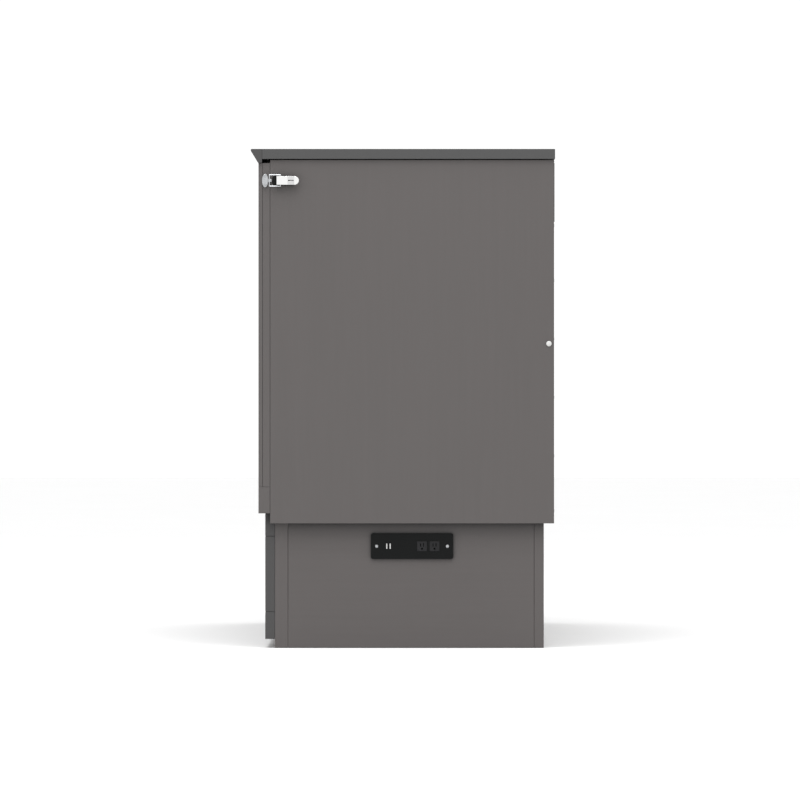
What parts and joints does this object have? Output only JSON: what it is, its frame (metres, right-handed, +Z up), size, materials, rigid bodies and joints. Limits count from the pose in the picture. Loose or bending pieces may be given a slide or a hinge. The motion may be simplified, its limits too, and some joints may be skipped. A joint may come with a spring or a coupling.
{
  "type": "cabinet murphy bed",
  "caption": "Low wooden chest with a lifting lid, toggle latches and a base drawer; its front unfolds forwards in hinged sections into a legged bed with a folding mattress.",
  "frame": {"origin": "on the floor, under the middle of the closed cabinet's bounding box", "axes": "+Z up, -Y towards the front, +X towards the right as seen from the front, along the cabinet's width"},
  "size_m": [1.6586, 0.6565, 1.0766],
  "materials": {
    "wood": "satin grey-brown lacquer",
    "wood_shaded": "satin dark grey lacquer",
    "plywood": "unfinished birch plywood",
    "mattress_cloth": "knitted off-white mattress cover",
    "steel": "zinc-plated steel",
    "chrome": "polished",
    "black_steel": "black-coated steel",
    "outlet_plastic": "fine moulded texture",
    "cap_plastic": "moulded",
    "rubber": "matte"
  },
  "bodies": {
    "cabinet": {"side_panel_left": "wood", "side_panel_right": "wood", "back_panel": "wood_shaded", "rear_top_rail": "wood", "base_deck": "plywood", "base_post_front_left": "wood", "base_post_front_right": "wood", "base_post_rear_left": "wood", "base_post_rear_right": "wood", "base_side_left": "wood", "base_side_right": "wood", "base_back": "wood_shaded", "bolt_cap_left": "cap_plastic", "bolt_cap_right": "cap_plastic", "outlet_plate": "outlet_plastic", "power_module": "outlet_plastic", "lid_hinge_fixed_leaf": "steel", "head_pivot_bracket_left": "steel", "head_pivot_bracket_right": "steel", "slide_fixed_left": "steel", "slide_fixed_right": "steel", "latch_base_left": "black_steel", "latch_base_right": "black_steel"},
    "lid": {"lid_board": "wood", "lid_crown": "wood_shaded", "lid_bumper_strip": "rubber", "lid_hinge_moving_leaf": "steel"},
    "head_section": {"head_frame": "plywood", "mattress_head": "mattress_cloth", "fold_hinge_head_leaf": "steel"},
    "mid_section": {"mid_frame": "plywood", "mattress_mid": "mattress_cloth", "fold_hinge_mid_leaf": "steel", "mid_arm_left": "steel", "mid_arm_right": "steel", "mid_leg_carrier": "steel"},
    "foot_section": {"foot_frame": "plywood", "mattress_foot": "mattress_cloth", "door_panel": "wood", "door_face_frame": "wood", "door_bottom_rail": "wood", "foot_arm_left": "steel", "foot_arm_right": "steel", "latch_keeper_left": "chrome", "latch_keeper_right": "chrome"},
    "drawer": {"drawer_front": "wood_shaded", "drawer_side_left": "plywood", "drawer_side_right": "plywood", "drawer_back": "plywood", "drawer_bottom": "plywood", "slide_moving_left": "steel", "slide_moving_right": "steel"},
    "mid_leg_left": {"mid_leg_left": "plywood"},
    "foot_leg_left": {"foot_leg_left": "wood"},
    "latch_lever_left": {"latch_lever_left": "chrome"},
    "latch_bail_left": {"latch_bail_left": "chrome"},
    "mid_leg_right": {"mid_leg_right": "plywood"},
    "foot_leg_right": {"foot_leg_right": "wood"},
    "latch_lever_right": {"latch_lever_right": "chrome"},
    "latch_bail_right": {"latch_bail_right": "chrome"}
  },
  "joints": [
    {"name": "lid_hinge", "type": "hinge", "parent": "cabinet", "child": "lid", "pos_m": [0, 0.325, 1.05135], "axis": [-1, 0, 0], "range_deg": [0, 95]},
    {"name": "bed_unfold", "type": "hinge", "parent": "cabinet", "child": "head_section", "pos_m": [0, 0.1304, 0.405], "axis": [1, 0, 0], "range_deg": [0, 90]},
    {"name": "head_mid_fold", "type": "hinge", "parent": "head_section", "child": "mid_section", "pos_m": [0, 0.1004, 1.003], "axis": [-1, 0, 0], "range_deg": [0, 180]},
    {"name": "mid_foot_fold", "type": "hinge", "parent": "mid_section", "child": "foot_section", "pos_m": [0, -0.0971, 0.322], "axis": [1, 0, 0], "range_deg": [0, 180]},
    {"name": "drawer_slide", "type": "slide", "parent": "cabinet", "child": "drawer", "axis": [0, -1, 0], "range_m": [0, 0.45]},
    {"name": "mid_leg_fold_left", "type": "hinge", "parent": "mid_section", "child": "mid_leg_left", "pos_m": [-0.64, 0.1004, 0.391], "axis": [-1, 0, 0], "range_deg": [0, 90]},
    {"name": "foot_leg_fold_left", "type": "hinge", "parent": "foot_section", "child": "foot_leg_left", "pos_m": [-0.262, -0.2989, 0.97], "axis": [-1, 0, 0], "range_deg": [0, 90]},
    {"name": "latch_lever_turn_left", "type": "hinge", "parent": "cabinet", "child": "latch_lever_left", "pos_m": [-0.821, -0.2685, 1.0084], "axis": [0, 0, 1], "range_deg": [0, 90]},
    {"name": "latch_bail_turn_left", "type": "hinge", "parent": "latch_lever_left", "child": "latch_bail_left", "pos_m": [-0.8254, -0.2638, 1.0084], "axis": [0, 0, 1], "range_deg": [-90, 0]},
    {"name": "mid_leg_fold_right", "type": "hinge", "parent": "mid_section", "child": "mid_leg_right", "pos_m": [0.64, 0.1004, 0.391], "axis": [-1, 0, 0], "range_deg": [0, 90]},
    {"name": "foot_leg_fold_right", "type": "hinge", "parent": "foot_section", "child": "foot_leg_right", "pos_m": [0.262, -0.2989, 0.97], "axis": [-1, 0, 0], "range_deg": [0, 90]},
    {"name": "latch_lever_turn_right", "type": "hinge", "parent": "cabinet", "child": "latch_lever_right", "pos_m": [0.821, -0.2685, 1.0084], "axis": [0, 0, -1], "range_deg": [0, 90]},
    {"name": "latch_bail_turn_right", "type": "hinge", "parent": "latch_lever_right", "child": "latch_bail_right", "pos_m": [0.8254, -0.2638, 1.0084], "axis": [0, 0, -1], "range_deg": [-90, 0]}
  ],
  "couplings": [
    {"joint": "head_mid_fold", "follows": "bed_unfold", "ratio": 2},
    {"joint": "mid_foot_fold", "follows": "bed_unfold", "ratio": 2},
    {"joint": "mid_leg_fold_left", "follows": "bed_unfold", "ratio": 1},
    {"joint": "foot_leg_fold_left", "follows": "bed_unfold", "ratio": 1},
    {"joint": "latch_bail_turn_left", "follows": "latch_lever_turn_left", "ratio": -1},
    {"joint": "mid_leg_fold_right", "follows": "bed_unfold", "ratio": 1},
    {"joint": "foot_leg_fold_right", "follows": "bed_unfold", "ratio": 1},
    {"joint": "latch_bail_turn_right", "follows": "latch_lever_turn_right", "ratio": -1}
  ]
}
